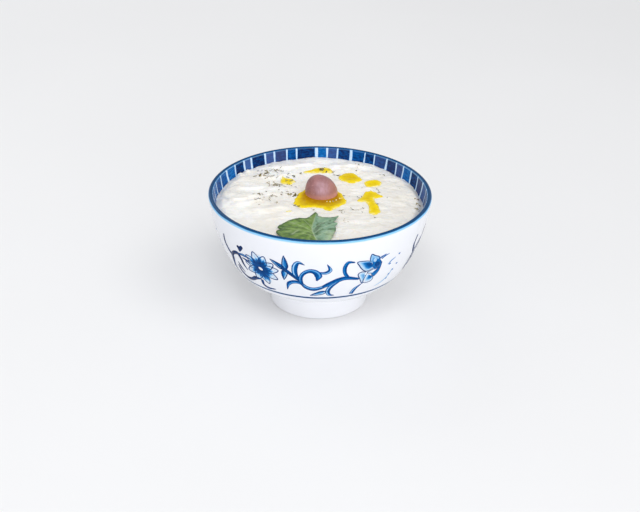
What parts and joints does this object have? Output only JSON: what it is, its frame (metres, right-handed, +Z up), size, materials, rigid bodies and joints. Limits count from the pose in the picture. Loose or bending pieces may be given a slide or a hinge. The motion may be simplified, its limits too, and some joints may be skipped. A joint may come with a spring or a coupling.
{
  "type": "bowl of tzatziki dip",
  "caption": "Footed porcelain bowl filled with thick white yogurt dip, garnished with an olive and a parsley leaf.",
  "frame": {"origin": "centre of the foot ring, on the surface that the bowl stands on", "axes": "+Z up; +Y to the back of the serving, away from the parsley leaf; +X to the right seen from the front"},
  "size_m": [0.115, 0.115, 0.0664],
  "materials": {
    "porcelain": "gloss white glaze with cobalt blue painting",
    "yogurt_dip": "moist off-white, soft satin",
    "olive": "mauve-brown skin with a soft sheen",
    "parsley": "fresh leaf, semi-matte, pale veins",
    "olive_oil": "clear golden oil, glossy",
    "dried_herbs": "dry crumbled herb flakes"
  },
  "bodies": {
    "root": {"bowl": "porcelain", "tzatziki": "yogurt_dip", "olive": "olive", "parsley_leaf": "parsley"}
  },
  "joints": []
}
